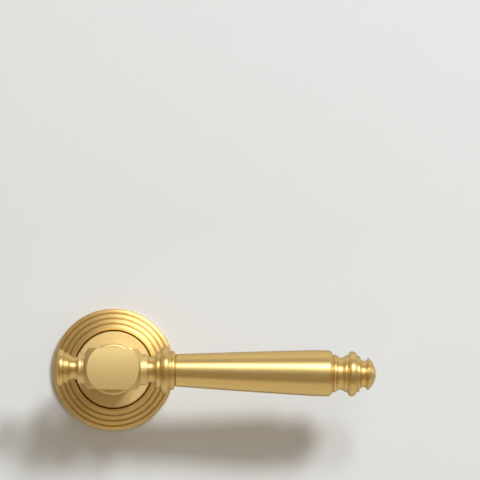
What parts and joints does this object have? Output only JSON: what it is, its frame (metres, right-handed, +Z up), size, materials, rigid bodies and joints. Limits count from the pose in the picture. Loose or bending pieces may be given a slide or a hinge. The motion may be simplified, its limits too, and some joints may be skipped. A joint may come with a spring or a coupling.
{
  "type": "door lever handle",
  "caption": "Satin brass door lever handle: tapered grip with turned, beaded ends on a flat-sided block, sprung to level on a round reeded rose; pressed down, it turns a square latch spindle.",
  "frame": {"origin": "the spindle's axis where it crosses the door face", "axes": "+X along the lever towards its tip, +Y into the door along the spindle, +Z up"},
  "size_m": [0.1439, 0.121, 0.055],
  "materials": {
    "satin_brass": "satin, finely brushed round each turned piece and lacquered",
    "plated_steel": "bright zinc plated",
    "spring_steel": "oiled spring steel",
    "die_cast_zinc": "die-cast zinc, dull as cast",
    "acetal": "moulded acetal, off-white"
  },
  "bodies": {
    "rose": {"rose_cover": "satin_brass", "mounting_plate": "die_cast_zinc", "spring_housing": "die_cast_zinc", "housing_screws": "plated_steel", "fixing_bolts": "plated_steel", "cover_snap_ring": "spring_steel", "front_bush": "acetal", "rear_bush": "acetal", "return_spring": "spring_steel"},
    "lever": {"lever_head": "satin_brass", "centre_disc": "satin_brass", "tail_finial": "satin_brass", "tail_stud": "plated_steel", "collar": "satin_brass", "grip": "satin_brass", "grip_stud": "plated_steel", "tip_finial": "satin_brass", "tip_stud": "plated_steel", "grub_screw": "plated_steel", "spindle": "plated_steel", "spring_driver": "die_cast_zinc", "retaining_clip": "spring_steel"}
  },
  "joints": [
    {"name": "lever_turn", "type": "hinge", "parent": "rose", "child": "lever", "pos_m": [0, 0, 0], "axis": [0, 1, 0], "range_deg": [0, 45], "stiffness_Nm_per_rad": 0.9, "springref_deg": -42.97, "deforming": ["return_spring"]}
  ]
}
